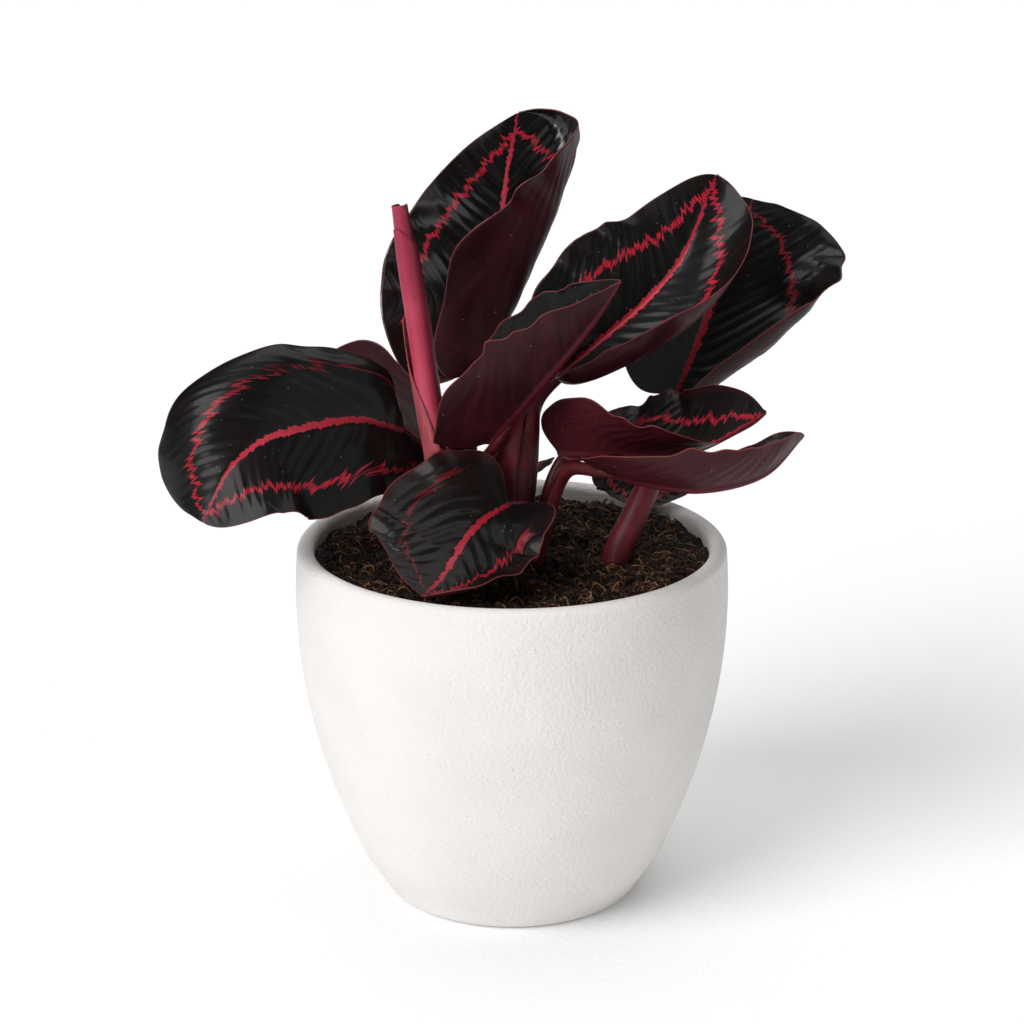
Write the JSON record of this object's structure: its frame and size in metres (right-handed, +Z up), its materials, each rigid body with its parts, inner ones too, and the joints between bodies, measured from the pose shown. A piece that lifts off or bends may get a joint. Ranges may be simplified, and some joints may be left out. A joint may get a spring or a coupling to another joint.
{
  "type": "potted calathea",
  "caption": "Calathea houseplant in a round white stoneware pot: near-black leaves with pink feathered markings and burgundy undersides on short crimson stems",
  "frame": {"origin": "centre of the pot's flat foot, on the surface that the pot stands on", "axes": "+Z up, the plant's front (the side the picture shows) towards -Y, +X to the right of that view"},
  "size_m": [0.2337, 0.15, 0.2716],
  "materials": {
    "pot": "matte",
    "potting_mix": "matte",
    "blade": "satin",
    "stem": "satin",
    "new_leaf_sheath": "satin",
    "new_leaf": "satin"
  },
  "bodies": {
    "root": {"pot": "pot", "potting_mix": "potting_mix", "leaf_tall_stem": "stem", "leaf_tall_blade": "blade", "leaf_rolled_stem": "stem", "leaf_rolled_blade": "blade", "leaf_centre_stem": "stem", "leaf_centre_blade": "blade", "leaf_right_stem": "stem", "leaf_right_blade": "blade", "leaf_side_upper_stem": "stem", "leaf_side_upper_blade": "blade", "leaf_side_lower_stem": "stem", "leaf_side_lower_blade": "blade", "leaf_low_right_stem": "stem", "leaf_low_right_blade": "blade", "leaf_front_stem": "stem", "leaf_front_blade": "blade", "leaf_left_stem": "stem", "leaf_left_blade": "blade", "leaf_back_left_stem": "stem", "leaf_back_left_blade": "blade", "leaf_low_back_stem": "stem", "leaf_low_back_blade": "blade", "new_leaf_stem": "new_leaf_sheath", "new_leaf_roll": "new_leaf"}
  },
  "joints": []
}
